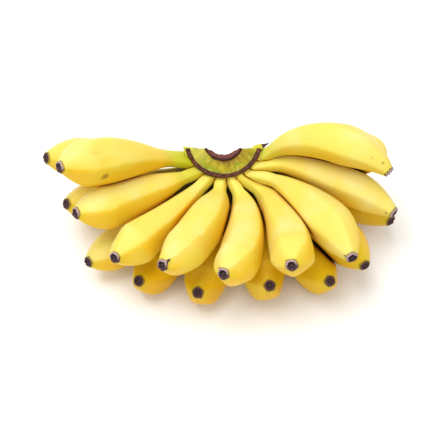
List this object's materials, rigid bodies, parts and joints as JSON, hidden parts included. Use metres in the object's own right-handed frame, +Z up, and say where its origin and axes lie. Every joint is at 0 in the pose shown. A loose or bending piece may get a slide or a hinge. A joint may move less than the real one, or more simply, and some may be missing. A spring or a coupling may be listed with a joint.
{
  "type": "hand of bananas",
  "caption": "Whole hand of small ripe bananas: two curved rows of fingers joined by nature at a cut green crown, resting on the bellies of the lower row.",
  "frame": {"origin": "bottom centre of the whole hand's box, on the surface that it rests on", "axes": "+Z up; -Y towards the viewer, where the fingers point; +X to the viewer's right, along the spread of the rows"},
  "size_m": [0.2726, 0.1482, 0.1172],
  "materials": {
    "peel": "satin waxy fruit skin",
    "crown": "matt fibrous green skin",
    "cut_face": "rough dried cut",
    "flower_end": "rough dried flower remains"
  },
  "bodies": {
    "root": {"crown": "crown", "upper_1": "peel", "upper_2": "peel", "upper_3": "peel", "upper_4": "peel", "upper_5": "peel", "upper_6": "peel", "upper_7": "peel", "upper_8": "peel", "upper_9": "peel", "lower_1": "peel", "lower_2": "peel", "lower_3": "peel", "lower_4": "peel", "lower_5": "peel", "lower_6": "peel", "lower_7": "peel", "lower_8": "peel", "lower_9": "peel", "lower_10": "peel"}
  },
  "joints": []
}
